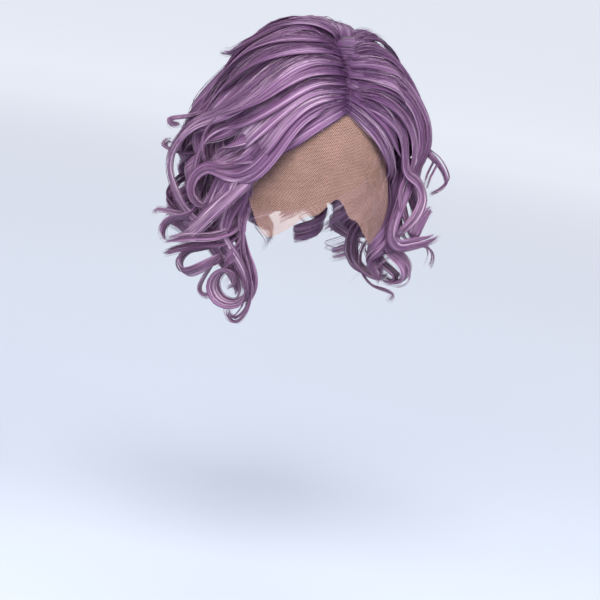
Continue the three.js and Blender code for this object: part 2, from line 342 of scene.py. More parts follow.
rightCurls = [
    {"root": (-58, 18), "width": 20, "roll": 0, "tone": 0.08, "path": [(252, 166, 62),
     (246, 178, 70), (234, 190, 72), (217, 205, 66), (202, 220, 56), (190, 231, 44),
     (178, 236, 34)]},
    {"root": (-60, 10), "width": 15, "roll": 10, "tone": 0.05, "path": [(244, 185, 60),
     (237, 200, 62), (228, 217, 60), (222, 231, 58), (212, 243, 52)]},
    {"root": (-56, 4), "width": 13, "roll": 10, "tone": 0.08, "path": [(240, 212, 52),
     (233, 228, 58), (216, 235, 62), (193, 236, 54), (176, 238, 42), (163, 241, 30)]},
    {"root": (-58, 0), "width": 13, "roll": 10, "path": [(238, 224, 50), (226, 241, 56),
     (203, 244, 52), (181, 248, 42), (164, 253, 30), (160, 256, 28)]},
    {"root": (-92, 10), "width": 9, "roll": 40, "tone": -0.1, "path": [(203, 190, 34),
     (196, 210, 42), (186, 216, 40), (174, 218, 34), (165, 225, 28), (163, 235, 28),
     (168, 243, 32)]},
    {"root": (-100, 6), "width": 6, "roll": 20, "tone": -0.1, "path": [(205, 205, 26),
     (190, 213, 26), (178, 212, 20), (165, 210, 14), (156, 209, 12), (154, 212, 12),
     (159, 214, 14)]},
    {"root": (-70, 2), "width": 11, "roll": 55, "tone": -0.08, "path": [(234, 218, 52),
     (222, 240, 54), (205, 248, 50), (188, 251, 42), (180, 261, 40), (186, 271, 46), (201, 266, 54),
     (217, 257, 54), (230, 250, 48)]},
    {"root": (-64, 0), "width": 12, "roll": 45, "path": [(222, 232, 58), (231, 246, 62),
     (241, 260, 66), (248, 277, 66), (248, 292, 62), (240, 302, 56), (228, 304, 52), (217, 298, 48),
     (212, 286, 48), (216, 275, 52), (225, 270, 56), (234, 274, 58), (235, 283, 58), (228, 288, 56),
     (221, 284, 54)]},
    {"root": (-56, 0), "width": 6, "roll": 40, "path": [(249, 205, 62), (243, 228, 68),
     (244, 252, 70), (250, 276, 70), (250, 296, 66), (245, 310, 62), (236, 319, 58), (229, 316, 56),
     (227, 308, 56), (229, 302, 56)]},
    {"root": (-62, 6), "width": 16, "roll": 10, "tone": 0.05, "path": [(218, 222, 54),
     (222, 236, 56), (230, 250, 58), (239, 264, 60), (246, 280, 60), (247, 294, 58),
     (241, 303, 54)]},
    {"root": (-58, 2), "width": 14, "roll": 10, "path": [(236, 215, 58), (238, 232, 60),
     (243, 250, 62), (249, 268, 62), (251, 284, 60), (247, 298, 57), (239, 305, 54)]},
    {"root": (-70, 0), "width": 16, "roll": 15, "tone": -0.1, "path": [(206, 225, 46),
     (210, 240, 46), (219, 254, 46), (229, 267, 46), (237, 281, 46), (239, 293, 46),
     (233, 301, 44)]},
    {"root": (-74, -4), "width": 9, "roll": 45, "path": [(228, 236, 46), (214, 262, 42),
     (204, 278, 38), (200, 288, 36), (204, 295, 38), (211, 291, 42), (211, 283, 44)]},
    {"root": (-112, 10), "width": 9, "roll": 40, "tone": -0.15, "path": [(198, 168, 0),
     (183, 176, -6), (172, 187, -8), (168, 198, -6), (174, 207, 0), (184, 208, 6)]},
    {"root": (-104, 42), "width": 8, "roll": 10, "tone": -0.1, "path": [(214, 108, 18),
     (200, 113, 12), (186, 117, 8), (175, 118, 6), (170, 120, 6), (173, 124, 8), (183, 124, 12)]},
    {"root": (-112, 30), "width": 7, "roll": 10, "tone": -0.15, "path": [(206, 148, 8),
     (194, 153, 4), (182, 153, 2), (171, 150, 0), (164, 145, 0), (167, 140, 0), (175, 142, 2)]},
]
leftSweeps = [
    {"spread": 20, "width": 13, "hold": (0.2, 0.55), "roll": 20, "bare": 0.65,
     "comb": [(351, 100, 1), (370, 104, 6), (387, 114, 9)], "lies": 2, "path": [(400, 128, 34),
     (405, 146, 25), (404, 163, 19), (407, 174, 18), (416, 181, 14), (421, 191, 10), (422, 202, 10),
     (416, 216, 14), (406, 227, 18), (398, 235, 18), (394, 243, 14)]},
    {"spread": 23, "width": 15, "hold": (0.35, 0.7), "roll": 15, "bare": 0.4, "comb": [(350, 91, 1),
     (371, 91, 7)], "lies": 3, "path": [(391, 100, 41), (406, 115, 26), (414, 132, 15),
     (416, 150, 9), (413, 168, 8), (406, 180, 12), (401, 195, 14), (403, 210, 12), (407, 224, 8),
     (403, 238, 6)]},
    {"spread": 23, "width": 15, "hold": (0.35, 0.7), "roll": 20, "comb": [(349, 80, 1),
     (371, 79, 9)], "lies": 3, "path": [(393, 86, 35), (409, 100, 19), (418, 117, 8), (421, 134, 3),
     (420, 150, 0), (416, 162, 0), (412, 174, 0), (410, 190, -1), (415, 206, -3), (416, 222, -6),
     (409, 236, -10)]},
    {"spread": 22, "width": 15, "hold": (0.2, 0.55), "roll": 20, "comb": [(347, 68, 1),
     (370, 66, 11)], "lies": 2, "path": [(392, 72, 25), (408, 86, 11), (419, 104, 0),
     (427, 124, -7), (428, 144, -10), (423, 158, -10), (416, 172, -11), (413, 190, -13),
     (417, 208, -16), (416, 226, -20), (408, 240, -22)]},
    {"spread": 24, "width": 16, "hold": (0.2, 0.55), "roll": 20, "bare": 0.5, "tone": -0.22,
     "comb": [(346, 57, 1), (361, 49, 13)], "lies": 2, "path": [(380, 51, 18), (398, 64, 4),
     (411, 84, -9), (420, 106, -18), (425, 128, -24), (424, 150, -27), (418, 168, -29),
     (415, 188, -32), (418, 208, -35), (415, 228, -38), (406, 242, -40)]},
    {"spread": 24, "width": 17, "hold": (0.2, 0.55), "roll": 20, "bare": 0.6, "tone": -0.36,
     "comb": [(345, 52, 1)], "lies": 3, "path": [(351, 41, 20), (362, 35, 6), (377, 38, -12),
     (389, 50, -29), (397, 66, -43), (403, 88, -54), (406, 114, -61), (405, 142, -64),
     (400, 166, -65), (397, 186, -66), (400, 206, -68), (398, 226, -70), (391, 244, -70)]},
    {"spread": 26, "width": 18, "roll": 0, "bare": 0.6, "tone": -0.4, "comb": [(344, 54, 1),
     (345, 42, 8)], "lies": 1, "path": [(344, 32, 14), (339, 25, -2), (329, 25, -23),
     (319, 33, -43), (309, 44, -62), (300, 58, -78), (292, 75, -90)]},
]
leftCurls = [
    {"root": (70, 20), "width": 4, "roll": 60, "tone": -0.15, "path": [(420, 146, -14),
     (429, 154, -12), (438, 162, -10), (445, 174, -8), (446, 183, -8), (438, 190, -10),
     (429, 194, -14)]},
    {"root": (72, 14), "width": 6, "roll": 40, "path": [(422, 150, -20), (431, 157, -18),
     (436, 163, -14), (433, 170, -12), (429, 178, -12), (425, 190, -10)]},
    {"root": (58, 6), "width": 17, "roll": 20, "tone": -0.25, "path": [(398, 160, 10),
     (396, 182, 10), (392, 206, 8), (388, 229, 6), (386, 245, 4), (390, 256, 2)]},
    {"root": (60, 10), "width": 10, "roll": 40, "tone": -0.12, "path": [(410, 165, 8),
     (407, 184, 10), (401, 204, 14), (395, 222, 16), (393, 238, 14), (400, 246, 12), (413, 244, 10),
     (427, 241, 6), (436, 236, 4), (437, 232, 4)]},
    {"root": (64, 4), "width": 11, "roll": 0, "path": [(406, 208, 0), (409, 228, 6), (413, 234, 10),
     (418, 224, 10), (425, 214, 8), (434, 206, 4)]},
    {"root": (66, -4), "width": 16, "roll": 50, "path": [(378, 216, -16), (383, 236, -12),
     (392, 252, -6), (402, 262, -4), (406, 272, -6), (402, 281, -10), (391, 283, -14),
     (383, 276, -18)]},
    {"root": (76, -6), "width": 15, "roll": 45, "path": [(368, 222, -30), (371, 244, -26),
     (380, 260, -20), (390, 270, -16), (396, 277, -14), (389, 282, -18), (379, 277, -22)]},
    {"root": (86, -6), "width": 16, "roll": 45, "path": [(358, 226, -46), (354, 246, -46),
     (358, 262, -42), (369, 273, -36), (383, 277, -30), (390, 270, -28)]},
    {"root": (96, -8), "width": 15, "roll": 45, "path": [(352, 228, -62), (348, 248, -62),
     (352, 263, -58), (363, 270, -52), (374, 266, -46)]},
    {"root": (84, -8), "width": 4, "roll": 30, "path": [(362, 252, -42), (364, 274, -40),
     (374, 286, -34), (390, 292, -28), (394, 297, -28), (387, 304, -30)]},
    {"root": (70, -6), "width": 3, "roll": 30, "path": [(404, 236, 0), (414, 244, 2), (428, 248, 0),
     (433, 257, -4), (429, 270, -8)]},
]
# tone darkens the upper back locks, painted shade at the crown
backRows = [
    {"count": 4, "from": 120, "to": 174, "rootEl": 79, "el": 8, "lift": 20, "rise": 0.2, "drop": 95,
     "curl": 14, "waves": 1.2, "loops": 1.0, "width": 46, "flare": 10, "bare": 0.7, "tone": -0.15},
    {"count": 3, "from": 125, "to": 170, "rootEl": 40, "el": -8, "lift": 18, "rise": 0.2,
     "drop": 85, "curl": 13, "waves": 1.0, "loops": 1.3, "width": 40, "flare": 10, "bare": 0.75},
]


def lockTable(rows):
    return [dict(zip(lockColumns, row)) for row in rows]


def backLocks(hand):
    locks = []
    for tier, row in enumerate(backRows):
        for i in range(row["count"]):
            az = hand * (row["from"] + (row["to"] - row["from"]) * i / (row["count"] - 1))
            locks.append({**row, "rootAz": 0 if row["rootEl"] > 45 else az, "az": az, "sweep": 0,
                          "toss": 0, "phase": hand * 130 * (i + 1.5 * tier)})
    return locks


def evenLine(knots, count, steps=240):  # smooth line through the knots, with evenly spaced points
    ends = np.vstack([2 * knots[0] - knots[1], knots, 2 * knots[-1] - knots[-2]])
    u = np.linspace(0, len(knots) - 1, steps)
    i = np.minimum(u.astype(int), len(knots) - 2)
    t = (u - i)[:, None]
    a, b, c, d = (ends[i + k] for k in range(4))
    line = b + 0.5 * t * (c - a + t * (2 * a - 5 * b + 4 * c - d + t * (3 * (b - c) + d - a)))
    run = np.concatenate([[0], np.cumsum(np.linalg.norm(np.diff(line, axis=0), axis=1))])
    spots = np.linspace(0, run[-1], count)
    return np.stack([np.interp(spots, run, line[:, k]) for k in range(3)], -1)


# The parting swerves to +x towards the crown.
# pull, out and up bend the way a lock takes to its leaving point
parting = {"rootOffset": 1.5, "rootLift": 3.0, "swerve": 11, "swerveFrom": (77, 79)}
lie = {"pull": 0.45, "out": 0.9, "up": 0.5, "lean": 0.15, "rounding": 60, "rise": 0.55,
       "steeper": 0.15, "upward": 0.6, "turns": (0.1, 0.6)}
curling = {"smooth": 0.38, "early": 0.15, "full": 0.8, "tighter": 0.15, "depth": 0.9,
           "outset": 0.35, "rolls": 0.4}


def drawnSpine(row, count):
    shown = np.array([sighted(*point) for point in row["path"]])
    if "comb" in row:
        lies = row.get("lies", 0)
        lying = np.vstack([[combed(*point) for point in row["comb"]], shown[:lies]])
        shown = shown[lies:]
        root = unit(lying[0])
    else:
        root, leave = aim(*row["root"]), unit(shown[0])
        t = np.array([0, 0.35, 0.7])[:, None]
        start, end = formRadius(root) + parting["rootLift"], np.linalg.norm(shown[0])
        lying = unit((1 - t) * root + t * leave) * (start + (end - start) * t)
    line = evenLine(np.vstack([lying, shown]), count)
    s = np.linspace(0, 1, count)
    if "comb" in row:  # rounded while it lies on the cap
        lain = np.linalg.norm(line - lying[-1], axis=1).argmin() / count
        soft = line.copy()
        for _ in range(lie["rounding"]):
            soft[1:-1] = (soft[:-2] + 2 * soft[1:-1] + soft[2:]) / 4
        line = soft + (line - soft) * ease(s, lain + 0.02, lain + 0.2)[:, None]
    line = line + ease(s, *lie["turns"])[:, None] * row.get("shift", 0)
    along = unit(np.gradient(line, axis=0))
    flat, side = np.empty_like(line), root
    leaves = int(count * len(lying) / (len(lying) + len(shown)))
    for i in range(count):  # flat on the cap while combed, then carried along without twist
        if i < leaves and "comb" in row:
            side = unit(line[i]) - (0, lie["lean"], 0)
        side = unit(side - along[i] * (side @ along[i]))
        flat[i] = side
    roll = (math.radians(row["roll"]) * ease(s, *lie["turns"]))[:, None]
    flat = flat * np.cos(roll) + np.cross(along, flat) * np.sin(roll)
    return line, flat, np.cross(along, flat)


def lockSpine(row, count):
    if "path" in row:
        return drawnSpine(row, count)
    hand = np.sign(row["az"])
    root = aim(row["rootAz"], row["rootEl"])
    if row["rootAz"] == 0:
        swerve = parting["swerve"] * float(ease(row["rootEl"], *parting["swerveFrom"]))
        root = unit(root + ((hand * parting["rootOffset"] + swerve) / form["top"], 0, 0))
    leave = aim(row["az"], row["el"])
    pull = lie["pull"] * (1 - root @ leave)
    middle = unit(root + leave + np.array((hand * lie["out"], -row["sweep"], lie["up"])) * pull)
    t = np.linspace(0, 1, 7)[:, None]
    d = unit((1 - t) ** 2 * root + 2 * t * (1 - t) * middle + t ** 2 * leave)
    rise = row.get("rise", lie["rise"] - lie["steeper"] * float(ease(row["rootEl"], 45, 75)))
    lift = parting["rootLift"] + (row["lift"] - parting["rootLift"]) * ease(t, 0, rise)
    lying = d * (formRadius(d)[:, None] + lift)
    fall = np.linspace(0.2, 1, 5)[:, None]
    hanging = lying[-1] + (1.3 * fall - 0.3 * fall ** 4) * (0, 0, -row["drop"])
    hanging = hanging + fall ** 3 * row["flare"] * aim(row["az"] + row["toss"], 0)
    line = evenLine(np.vstack([lying, hanging]), count)
    along = unit(np.gradient(line, axis=0))
    outward = np.stack([line[:, 0], line[:, 1], lie["upward"] * np.maximum(line[:, 2], 0)], -1)
    outward = unit(outward - along * np.sum(outward * along, -1, keepdims=True))
    across = np.cross(along, outward)

    def turnAt(s):
        return np.radians(row["phase"]) + 2 * np.pi * (row["waves"] * s + row["loops"] * s ** 4)

    s = np.linspace(0, 1, count)[:, None]
    turn = turnAt(s)
    # hair from the parting lies smooth for longer
    starts = curling["smooth"] if row["rootEl"] > 40 else curling["early"]
    radius = row["curl"] * ease(s, starts, curling["full"])
    radius = radius * (1 - curling["tighter"] * ease(s, 0.85, 1))
    outset = outward * curling["depth"] * radius * (curling["outset"] + np.cos(turn))
    centre = line + outset + across * radius * np.sin(turn)
    nearest = np.pi * np.round(turnAt(starts + curling["rolls"] / 2) / np.pi)
    roll = ease(s, starts, starts + curling["rolls"]) * (turn - nearest)
    flat = outward * np.cos(roll) + across * np.sin(roll)
    along = unit(np.gradient(centre, axis=0))
    flat = unit(flat - along * np.sum(flat * along, -1, keepdims=True))
    return centre, flat, np.cross(along, flat)


def at(track, share):  # value of an evenly spaced track at shares of its length
    spot = np.clip(share, 0, 1) * (len(track) - 1)
    i = np.minimum(spot.astype(int), len(track) - 2)
    t = spot - i
    if track.ndim > 1:
        t = t[..., None]
    return track[i] * (1 - t) + track[i + 1] * t


def paced(line, count, bends=1.6):  # shares of the line, closer together where it bends
    step = np.diff(line, axis=0)
    run = np.linalg.norm(step, axis=1)
    bend = np.arccos(np.clip(np.sum(unit(step[1:]) * unit(step[:-1]), -1), -1, 1))
    pace = run / run.sum() + bends * np.append(bend, 0) / bend.sum()
    pace = np.concatenate([[0], np.cumsum(pace)])
    return np.interp(np.linspace(0, pace[-1], count), pace, np.linspace(0, 1, len(line)))


# A lock is some clumps side by side, each a flat core under its strands, and a few loose wisps.
# stray is how far each clump or wisp departs from its lock
combing = {
    "stations": 140, "thick": 0.3, "bare": 0.12, "hold": (0.3, 0.7), "gather": 0.45, "taper": 0.4,
    "seats": 0.85, "layers": 0.4, "clumpThick": 0.8, "shift": 0.8, "toneStray": 0.06,
    "ends": (0.97, 1.0),
    "stray": {"phase": 4, "curl": 0.6, "waves": 0.01, "loops": 0.02, "drop": 2, "lift": 0.8},
}
wispShape = {
    "count": 2, "strands": 5, "width": 0.25, "thick": 0.4, "layer": 0.9, "shift": 2.0,
    "stray": {"phase": 40, "curl": 2, "waves": 0.1, "loops": 0.1, "drop": 10, "flare": 6,
              "lift": 1.5},
}
# cores are a little darker than their strands, painted shade under the strands
coreShape = {"points": 38, "sides": 8, "sweepWidth": 1.25, "width": 0.95, "thick": 0.7,
             "slim": 0.85, "slims": (0.86, 0.985), "start": 0.012, "run": 0.97, "shadowTone": 0.04}
strandShape = {"sides": 3, "radius": 0.24, "wave": 0.3, "fray": 1.0, "sweepTone": 0.14,
               "tone": 0.2, "marks": 40, "ends": (0.965, 1), "waves": (0.5, 2.2)}
bridgeShape = {"strands": 52, "points": 22, "tone": 0.48, "toneStray": 0.13, "run": (0.5, 1.15),
               "between": (-0.3, 1.3), "ripples": (0.5, 2), "lift": (0.5, 2.5), "sway": (0.3, 2.0)}
markRange = 900  # how far apart streaks of different locks are


def clumpCore(spine, reach, end, tone, share, mark):
    centre, flat, broad = spine
    where = paced(centre, coreShape["points"]) * end * coreShape["run"] + coreShape["start"]
    slim = 1 - coreShape["slim"] * ease(where, *coreShape["slims"])
    wide = at(reach[0], where) * share * slim
    thin = at(reach[1], where) * coreShape["thick"] * slim * (0.1 + 0.9 * ease(where, 0, 0.08))
    return (at(centre, where), at(flat, where), at(broad, where), thin, wide,
            np.full(len(where), tone - coreShape["shadowTone"]), where, at(mark, where), wide)


def clumpStrands(spine, reach, end, tone, toneStray, offset, rng, count, points):
    centre, flat, broad = spine
    turn, out = rng.uniform(0, 2 * np.pi, count), np.sqrt(rng.uniform(0.4, 1, count))
    a, b = (out * np.cos(turn))[:, None], (out * np.sin(turn))[:, None]
    where = end * rng.uniform(*strandShape["ends"], count)[:, None] * paced(centre, points)
    wave = []
    for _ in range(2):
        beat = rng.uniform(*strandShape["waves"], (count, 1)) * where
        beat = beat + rng.uniform(0, 1, (count, 1))
        wave.append(strandShape["wave"] * np.sin(2 * np.pi * beat))
    f, g = at(flat, where), at(broad, where)
    p = at(centre, where) + ((a + wave[0]) * at(reach[0], where))[..., None] * g
    p = p + ((b + wave[1]) * at(reach[1], where))[..., None] * f
    fray = strandShape["fray"] * ease(where, 0.6, 1) ** 2
    p = p + rng.normal(0, 1, (count, 1, 3)) * fray[..., None]
    spin = rng.uniform(0, 2 * np.pi, (count, 1, 1))
    slim = 1 - 0.8 * ease(np.linspace(0, 1, points), 0.8, 1)
    radius = strandShape["radius"] * slim * np.ones((count, 1))
    tones = (tone + rng.normal(0, toneStray, (count, 1))) * np.ones(points)
    marks = offset + strandShape["marks"] * rng.uniform(0, 1, (count, 1)) + 0 * where
    return (p, f * np.cos(spin) + g * np.sin(spin), g * np.cos(spin) - f * np.sin(spin),
            radius, radius, tones, where, marks, 0 * where)


def combLock(row, rng, clumps, strandCount, points):
    s = np.linspace(0, 1, combing["stations"])
    sweep, drawn = "comb" in row, "path" in row
    wide = row.get("spread", row["width"])
    slim = row["width"] if drawn else row["width"] * (1 - combing["gather"])
    bare = row.get("bare", combing["bare"]) * (1 - ease(s, 0, 0.2))
    tapered = 1 - bare - combing["taper"] * ease(s, 0.75, 1)
    halfWidth = (wide + (slim - wide) * ease(s, *row.get("hold", combing["hold"]))) / 2 * tapered
    full = 0.15 + 0.35 * ease(s, 0, 0.2) + 0.5 * ease(s, 0.3, 0.7) - 0.5 * ease(s, 0.85, 1)
    halfThick = slim / 2 * combing["thick"] * full
    # the row's tone is painted shade where it darkens a lock; on top of it tone differs at random
    lockTone = 0.5 + row.get("tone", 0) + rng.normal(0, combing["toneStray"])
    offset = rng.uniform(0, markRange)
    strands, cores = [], []
    for k in range(clumps + (1 if drawn else wispShape["count"])):
        wisp = k >= clumps
        shape = wispShape if wisp else combing
        own = dict(row)
        for name, spread in shape["stray"].items():
            if name in own:
                own[name] += rng.normal(0, spread)
        own["shift"] = rng.normal(0, shape["shift"], 3)
        centre, flat, broad = lockSpine(own, len(s))
        seat = rng.uniform(-1, 1) if wisp else ((2 * k + 1) / clumps - 1) * combing["seats"]
        layer = wispShape["layer"] if wisp else rng.uniform(-combing["layers"], combing["layers"])
        centre = centre + (seat * halfWidth)[:, None] * broad + (layer * halfThick)[:, None] * flat
        spine = centre, flat, broad
        reach = (halfWidth * (wispShape["width"] if wisp else 2.0 / clumps),
                 halfThick * (wispShape["thick"] if wisp else combing["clumpThick"]))
        end = rng.uniform(*combing["ends"])
        tone = lockTone + rng.normal(0, combing["toneStray"])
        if not wisp:
            share = coreShape["sweepWidth" if sweep else "width"]
            cores.append(clumpCore(spine, reach, end, tone, share, offset + seat * halfWidth))
        toneStray = strandShape["sweepTone" if sweep else "tone"]
        count = wispShape["strands"] if wisp else strandCount
        strands.append(clumpStrands(spine, reach, end, tone, toneStray, offset, rng, count, points))
    return strands, cores


def bridgeStrands(rows, rng):  # single strands between neighbouring sweeps that lie on the cap
    count, points = bridgeShape["strands"], bridgeShape["points"]
    strands = []
    for pair in zip(rows, rows[1:]):
        share = rng.uniform(*bridgeShape["run"], (count, 1)) * np.linspace(0, 1, points)
        t = rng.uniform(*bridgeShape["between"], (count, 1, 1))
        ends = []
        for row in pair:
            centre, flat, _ = lockSpine(row, combing["stations"])
            if "lies" in row:
                last = sighted(*row["path"][row["lies"] - 1])
            else:
                last = combed(*row["comb"][-1])
            lies = np.linalg.norm(centre - last, axis=1).argmin() / len(centre)
            ends.append((at(centre, share * lies), at(flat, share * lies), share * lies))
        p, f = ((1 - t) * a + t * b for a, b in zip(ends[0][:2], ends[1][:2]))
        f = unit(f)
        beat = rng.uniform(*bridgeShape["ripples"], (count, 1)) * share
        ripple = np.sin(2 * np.pi * (beat + rng.uniform(0, 1, (count, 1))))
        g = np.cross(unit(np.gradient(p, axis=1)), f)
        lift = rng.uniform(*bridgeShape["lift"], (count, 1)) + 0.4 * ripple
        p = p + f * (ease(share, 0, 0.15) * lift)[..., None]
        sway = ease(share, 0, 0.3) * ripple * rng.uniform(*bridgeShape["sway"], (count, 1))
        p = p + g * sway[..., None]
        slim = 1 - 0.85 * ease(np.linspace(0, 1, points), 0.7, 1)
        radius = strandShape["radius"] * slim * np.ones((count, 1))
        stray = rng.normal(0, bridgeShape["toneStray"], (count, 1))
        tones = bridgeShape["tone"] + stray + 0 * share
        marks = markRange * rng.uniform(0, 1, (count, 1)) + 0 * share
        strands.append((p, f, g, radius, radius, tones, ends[0][2], marks, 0 * share))
    return strands


mapStrip = {"margin": 0.08, "width": 0.84, "endWidth": 0.4, "endHeight": 0.004, "endFill": 0.9}


def tubes(batch, sides):  # closed tubes along a batch's lines, as points, corners and their map
    centre, flat, broad, thick, width, tone, along, across, reach = (
        np.concatenate(part) for part in zip(*batch))
    count, points = centre.shape[:2]
    angle = np.arange(sides) * 2 * np.pi / sides
    ring = (width[..., None] * np.cos(angle))[..., None] * broad[:, :, None]
    ring = ring + (thick[..., None] * np.sin(angle))[..., None] * flat[:, :, None]
    index = np.arange(count * points * sides).reshape(count, points, sides)
    beside = np.roll(index, -1, axis=2)
    quads = np.stack([index[:, :-1], index[:, 1:], beside[:, 1:], beside[:, :-1]], -1)
    ends = np.concatenate([index[:, 0], index[:, -1, ::-1]])
    # one strip of the map for each line
    wide, fill = mapStrip["width"], mapStrip["endFill"]
    column = (np.arange(count) + mapStrip["margin"])[:, None, None] / count
    u = column + np.arange(sides) / sides * wide / count + np.zeros((1, points - 1, 1))
    v = np.broadcast_to((np.arange(points - 1) / (points - 1))[:, None], u.shape)
    du, dv = wide / count / sides, 1 / (points - 1)
    corner = [(u, v), (u, v + dv), (u + du, v + dv), (u + du, v)]
    quadMap = np.stack([np.stack(pair, -1) for pair in corner], -2)
    rimU = column[:, 0] + mapStrip["endWidth"] / count * (1 + fill * np.cos(angle))
    rimV = np.full((count, sides), mapStrip["endHeight"]) * (1 + fill * np.sin(angle))
    rim = np.stack([rimU, rimV], -1)
    endMap = np.concatenate([rim, (0, 1) + rim[:, ::-1] * (1, -1)])
    across = across[..., None] + reach[..., None] * np.cos(angle)
    marks = [np.repeat(mark.reshape(-1), sides) for mark in (tone, along)] + [across.reshape(-1)]
    points = (centre[:, :, None] + ring).reshape(-1, 3)
    return points, quads.reshape(-1, 4), ends, quadMap.reshape(-1, 2), endMap.reshape(-1, 2), marks


def addMarks(mesh, marks):
    for name, values in marks.items():
        layer = mesh.attributes.new(name, "FLOAT", "POINT")
        layer.data.foreach_set("value", values)


def strandMesh(name, parts):
    mesh = bpy.data.meshes.new(name)
    starts = np.cumsum([0] + [len(p[0]) for p in parts])
    points = np.concatenate([p[0] for p in parts])
    corners = [face + start for p, start in zip(parts, starts) for face in (p[1], p[2])]
    sizes = np.concatenate([np.full(len(face), face.shape[1]) for face in corners])
    loops = np.concatenate([face.reshape(-1) for face in corners])
    mesh.vertices.add(len(points))
    mesh.vertices.foreach_set("co", toScene(points).reshape(-1))
    mesh.loops.add(len(loops))
    mesh.loops.foreach_set("vertex_index", loops)
    mesh.polygons.add(len(sizes))
    mesh.polygons.foreach_set("loop_start", np.concatenate([[0], np.cumsum(sizes)[:-1]]))
    mesh.update(calc_edges=True)
    mesh.shade_smooth()
    addMarks(mesh, {mark: np.concatenate([p[5][k] for p in parts])
                    for k, mark in enumerate(("tone", "along", "across"))})
    strips = mesh.uv_layers.new(name="OFBake")
    uv = np.concatenate([m for p in parts for m in (p[3], p[4])])
    strips.data.foreach_set("uv", uv.reshape(-1))
    return mesh


def hairPiece(name, node, rows, clumps, strandCount, points, seed):
    rng = np.random.default_rng(seed)
    strands, cores = [], []
    for row in rows:
        newStrands, newCores = combLock(row, rng, clumps, strandCount, points)
        strands += newStrands
        cores += newCores
    sets = [tubes(strands, strandShape["sides"])]
    if "comb" in rows[0]:
        sets.append(tubes(bridgeStrands(rows, rng), strandShape["sides"]))
    cores = [tuple(x[None] for x in core) for core in cores]
    mesh = strandMesh(name, [tubes(cores, coreShape["sides"])] + sets)
    addPiece(name, mesh, fibre, "hair", node)
    print(name, "triangles:", sum(len(p.vertices) - 2 for p in mesh.polygons))


# Clumps in a lock, strands in a clump, points along a strand
lockMakeup = {"top": (2, 10, 24), "side": (2, 20, 28), "curls": (3, 12, 34),
              "sweep": (6, 10, 30), "back": (4, 14, 28)}
hairPiece("hairTopRight", "hair_right", lockTable(rightTop), *lockMakeup["top"], seed=11)
hairPiece("hairSideRight", "hair_right", lockTable(rightSide), *lockMakeup["side"], seed=12)
hairPiece("hairCurlsRight", "hair_right", rightCurls, *lockMakeup["curls"], seed=14)
hairPiece("hairSweepRight", "hair_right", rightSweeps, *lockMakeup["sweep"], seed=15)
hairPiece("hairBackRight", "hair_right", backLocks(-1), *lockMakeup["back"], seed=13)
hairPiece("hairTopLeft", "hair_left", lockTable(leftTop), *lockMakeup["top"], seed=21)
hairPiece("hairSideLeft", "hair_left", lockTable(leftSide), *lockMakeup["side"], seed=22)
hairPiece("hairCurlsLeft", "hair_left", leftCurls, *lockMakeup["curls"], seed=24)
hairPiece("hairSweepLeft", "hair_left", leftSweeps, *lockMakeup["sweep"], seed=25)
hairPiece("hairBackLeft", "hair_left", backLocks(1), *lockMakeup["back"], seed=23)


# Shells over the form, bent from a grid whose x runs from side to side and y over the crown
def bentGrid(sides, tilts, off, across, over):
    bm = bmesh.new()
    flatMap = bm.loops.layers.uv.new("OFBake")
    bmesh.ops.create_grid(bm, x_segments=across, y_segments=over, size=1)
    grid = np.array([v.co for v in bm.verts])
    side = sides[0] + (sides[1] - sides[0]) * (grid[:, 0] + 1) / 2
    low, high = tilts(side)
    tilt = low + (high - low) * (grid[:, 1] + 1) / 2
    d = place(side, tilt)
    points = toScene(d * (formRadius(d) + off(side, tilt))[:, None])
    uv = np.stack([side / 180 + 0.5, tilt / 360 + 0.3], -1)
    for face in bm.faces:
        for loop in face.loops:
            loop[flatMap].uv = uv[loop.vert.index]
    for v, p in zip(bm.verts, points):
        v.co = p
    return bm


def finishShell(name, bm, thickness):
    if thickness:
        bmesh.ops.solidify(bm, geom=bm.faces[:], thickness=thickness)
    for face in bm.faces:
        face.smooth = True
    mesh = bpy.data.meshes.new(name)
    bm.to_mesh(mesh)
    bm.free()
    return mesh


# Bed of hair under the locks, darker than the locks: painted shade that shows in the gaps between
# them
bed = {"reach": 77, "nape": 217, "off": 1.9, "edge": 0.4, "full": 11, "fade": (4, 50),
       "spread": (0, 34), "joins": (78, 116), "parted": 0.4, "wall": 0.8, "across": 30, "over": 70,
       "tone": 0.3, "along": 0.1}
hairline = {"side": (0, 25, 45, 60, 70, 77), "tilt": (41, 42, 32, 13, -10, -35)}


def bedTilts(side):
    low = fromTable(hairline["side"], hairline["tilt"], np.abs(side))
    return low, np.full(len(side), bed["nape"])


def bedOff(side, tilt):
    low, high = bedTilts(side)
    body = ease(np.minimum(tilt - low, high - tilt), *bed["fade"])
    apart = np.maximum(ease(np.abs(side), *bed["spread"]), ease(tilt, *bed["joins"]))
    return bed["off"] + bed["edge"] + bed["full"] * body * apart


def makeBed(name, node, hand):
    sides = (bed["parted"], bed["reach"]) if hand > 0 else (-bed["reach"], -bed["parted"])
    bm = bentGrid(sides, bedTilts, bedOff, bed["across"], bed["over"])
    for v in bm.verts:  # the two halves meet behind the parting
        if v.co.y > 0.02 and abs(v.co.x) < 0.001:
            v.co.x = 0
    mesh = finishShell(name, bm, bed["wall"] * mm)
    x, y, z = (np.array([v.co for v in mesh.vertices]) / mm + (0, 0, form["top"])).T
    # streaks run down the back, and from the parting elsewhere
    across = np.where(y > 25, x * 1.2, np.degrees(np.arctan2(z, -y)) * 1.7)
    addMarks(mesh, {"tone": np.full(len(x), bed["tone"]), "along": np.full(len(x), bed["along"]),
                    "across": across})
    addPiece(name, mesh, shadedBedFibre, "hair", node)


makeBed("hairBedRight", "hair_right", -1)
makeBed("hairBedLeft", "hair_left", 1)
print("hair bed done")

